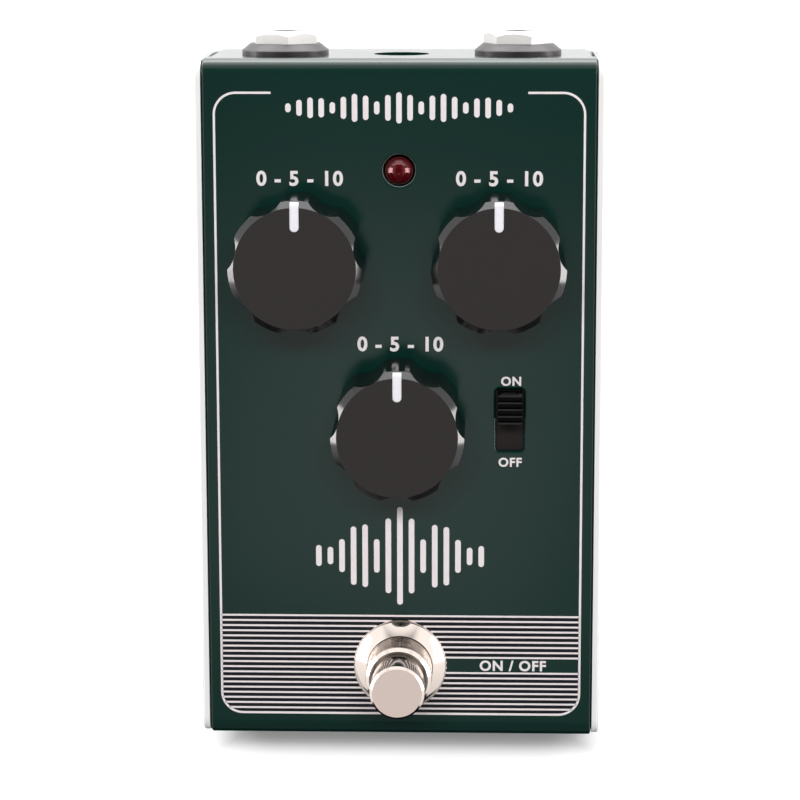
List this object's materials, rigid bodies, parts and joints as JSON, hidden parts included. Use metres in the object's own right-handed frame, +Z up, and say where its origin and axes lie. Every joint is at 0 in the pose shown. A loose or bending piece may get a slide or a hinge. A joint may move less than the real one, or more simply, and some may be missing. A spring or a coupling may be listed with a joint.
{
  "type": "effects pedal",
  "caption": "Compact effects pedal in a folded steel case, with fluted dials, a slide switch, a lamp, a sprung foot switch and plug sockets in its rear wall.",
  "frame": {"origin": "on the floor under the middle of the whole object's outline", "axes": "+X to the right of the player, +Y to the rear wall with the sockets, +Z up"},
  "size_m": [0.074, 0.131, 0.05],
  "materials": {
    "cover_enamel": "gloss dark green coat",
    "tray_steel": "satin silver coat on steel sheet",
    "screw_steel": "plated",
    "foot_rubber": "matt",
    "dial_plastic": "moulded, matt face and glossy edge",
    "pointer_white": "white inlay",
    "shaft_metal": "turned",
    "pot_case": "moulded case with a metal bushing",
    "nut_plate": "bright plate",
    "board_laminate": "green solder mask",
    "lamp_red": "clear red epoxy",
    "tinned_lead": "tinned",
    "switch_black": "moulded",
    "stomp_nickel": "bright nickel plate",
    "stomp_case": "moulded",
    "lug_brass": "tinned brass",
    "spring_steel": "drawn wire",
    "socket_black": "moulded",
    "bezel_black": "moulded",
    "battery_wrap": "plain wrapped cell block",
    "pad_foam": "foam pad",
    "snap_vinyl": "soft vinyl cap",
    "lead_sleeve": "insulated leads",
    "cable_sleeve": "insulated bundle",
    "chip_black": "moulded",
    "can_metal": "drawn cans"
  },
  "bodies": {
    "case": {"top_cover": "cover_enamel", "base_tray": "tray_steel", "side_screws": "screw_steel", "rubber_feet": "foot_rubber", "pot_washers": "nut_plate", "pot_nuts": "nut_plate", "main_board": "board_laminate", "socket_board": "board_laminate", "led_lens": "lamp_red", "led_leads": "tinned_lead", "led_spacer": "socket_black", "slide_switch_body": "switch_black", "footswitch_body": "stomp_case", "footswitch_bushing": "stomp_nickel", "footswitch_dress_nut": "stomp_nickel", "footswitch_lock_nut": "stomp_nickel", "footswitch_lock_washer": "stomp_nickel", "footswitch_spring": "spring_steel", "footswitch_lugs": "lug_brass", "footswitch_board": "board_laminate", "power_socket": "socket_black", "power_pin": "nut_plate", "link_socket": "socket_black", "link_header": "socket_black", "battery": "battery_wrap", "battery_pad": "pad_foam", "battery_snap": "snap_vinyl", "battery_leads": "lead_sleeve", "switch_cable": "cable_sleeve", "chips": "chip_black", "capacitors": "can_metal", "delay_pot": "pot_case", "volume_pot": "pot_case", "sustain_pot": "pot_case", "output_jack_body": "socket_black", "output_jack_contact": "lug_brass", "output_jack_bushing": "nut_plate", "output_jack_bezel": "bezel_black", "output_jack_nut": "nut_plate", "input_jack_body": "socket_black", "input_jack_contact": "lug_brass", "input_jack_bushing": "nut_plate", "input_jack_bezel": "bezel_black", "input_jack_nut": "nut_plate"},
    "delay_dial": {"delay_knob": "dial_plastic", "delay_pointer": "pointer_white", "delay_shaft": "shaft_metal"},
    "volume_dial": {"volume_knob": "dial_plastic", "volume_pointer": "pointer_white", "volume_shaft": "shaft_metal"},
    "sustain_dial": {"sustain_knob": "dial_plastic", "sustain_pointer": "pointer_white", "sustain_shaft": "shaft_metal"},
    "mode_slider": {"slide_switch_slider": "switch_black"},
    "stomp_button": {"footswitch_plunger": "stomp_nickel"}
  },
  "joints": [
    {"name": "delay_turn", "type": "hinge", "parent": "case", "child": "delay_dial", "pos_m": [-0.018, 0.02527, 0.0323], "axis": [0, 0, 1], "range_deg": [-150, 150]},
    {"name": "volume_turn", "type": "hinge", "parent": "case", "child": "volume_dial", "pos_m": [0.018, 0.02527, 0.0323], "axis": [0, 0, 1], "range_deg": [-150, 150]},
    {"name": "sustain_turn", "type": "hinge", "parent": "case", "child": "sustain_dial", "pos_m": [0, -0.00513, 0.0323], "axis": [0, 0, 1], "range_deg": [-150, 150]},
    {"name": "mode_slide", "type": "slide", "parent": "case", "child": "mode_slider", "axis": [0, -1, 0], "range_m": [0, 0.0056]},
    {"name": "stomp_press", "type": "slide", "parent": "case", "child": "stomp_button", "axis": [0, 0, -1], "range_m": [0, 0.004], "stiffness_N_per_m": 1500, "springref_m": -0.004, "deforming": ["footswitch_spring"]}
  ]
}
